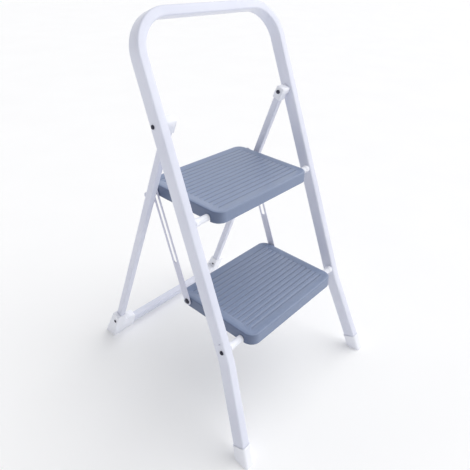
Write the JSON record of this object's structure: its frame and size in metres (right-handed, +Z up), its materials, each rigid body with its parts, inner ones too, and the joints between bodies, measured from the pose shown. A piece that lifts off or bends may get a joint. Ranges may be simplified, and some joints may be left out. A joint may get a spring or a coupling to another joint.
{
  "type": "folding step stool",
  "caption": "Folding step stool with a bent-tube front frame and hand rail, a hinged rear frame, moulded ribbed steps and slotted link bars that fold the steps with the frames.",
  "frame": {"origin": "on the floor, at the middle of the box round the open stool", "axes": "+Z up, +Y from the climbing side towards the rear legs, +X to the right of someone who faces the steps"},
  "size_m": [0.4736, 0.5484, 0.8497],
  "materials": {
    "white_paint": "smooth satin white powder coat with a faint lilac tint",
    "white_plastic": "plain moulded white plastic, slightly matt",
    "step_plastic": "grey-blue moulded plastic, fine-grained, satin on the ribs",
    "plated_steel": "zinc plated",
    "dark_steel": "blackened, low sheen"
  },
  "bodies": {
    "front_frame": {"front_hoop": "white_paint", "front_foot_left": "white_plastic", "front_foot_right": "white_plastic", "upper_pivot_tube": "white_paint", "lower_pivot_tube": "white_paint", "upper_spacer_left": "white_plastic", "upper_spacer_right": "white_plastic", "lower_spacer_left": "white_plastic", "lower_spacer_right": "white_plastic", "lower_tube_plug_left": "plated_steel", "lower_tube_plug_right": "plated_steel", "lower_tube_screw_left": "dark_steel", "lower_tube_screw_right": "dark_steel", "hinge_bolt_left": "dark_steel", "hinge_bolt_right": "dark_steel"},
    "rear_frame": {"rear_leg_left": "white_paint", "rear_leg_right": "white_paint", "rear_crossbar": "white_paint", "rear_corner_foot_left": "white_plastic", "rear_corner_foot_right": "white_plastic", "rear_foot_rivet_left": "dark_steel", "rear_foot_rivet_right": "dark_steel", "hinge_bracket_left": "white_plastic", "hinge_bracket_right": "white_plastic", "support_rod": "white_paint", "rod_tab_left": "white_paint", "rod_tab_right": "white_paint"},
    "upper_step": {"upper_tread": "step_plastic", "rod_hook_left": "step_plastic", "rod_hook_right": "step_plastic", "hook_screw_left": "plated_steel", "hook_screw_right": "plated_steel", "link_upper_pin_left": "dark_steel", "link_upper_pin_right": "dark_steel"},
    "lower_step": {"lower_tread": "step_plastic", "link_lower_rivet_left": "dark_steel", "link_lower_rivet_right": "dark_steel"},
    "left_link": {"left_link_bar": "white_paint"},
    "right_link": {"right_link_bar": "white_paint"}
  },
  "joints": [
    {"name": "fold", "type": "hinge", "parent": "front_frame", "child": "rear_frame", "pos_m": [0, 0.01323, 0.652], "axis": [-1, 0, 0], "range_deg": [0, 37.2]},
    {"name": "upper_step_tilt", "type": "hinge", "parent": "front_frame", "child": "upper_step", "pos_m": [0, -0.06958, 0.4756], "axis": [1, 0, 0], "range_deg": [0, 58]},
    {"name": "lower_step_tilt", "type": "hinge", "parent": "front_frame", "child": "lower_step", "pos_m": [0, -0.16933, 0.2287], "axis": [1, 0, 0], "range_deg": [0, 58]},
    {"name": "left_link_swing", "type": "hinge", "parent": "lower_step", "child": "left_link", "pos_m": [0, -0.00903, 0.235], "axis": [1, 0, 0], "range_deg": [-58, 0]},
    {"name": "right_link_swing", "type": "hinge", "parent": "lower_step", "child": "right_link", "pos_m": [0, -0.00903, 0.235], "axis": [1, 0, 0], "range_deg": [-58, 0]}
  ],
  "couplings": [
    {"joint": "upper_step_tilt", "follows": "fold", "ratio": 1.559},
    {"joint": "lower_step_tilt", "follows": "fold", "ratio": 1.559},
    {"joint": "left_link_swing", "follows": "fold", "ratio": -1.559},
    {"joint": "right_link_swing", "follows": "fold", "ratio": -1.559}
  ]
}
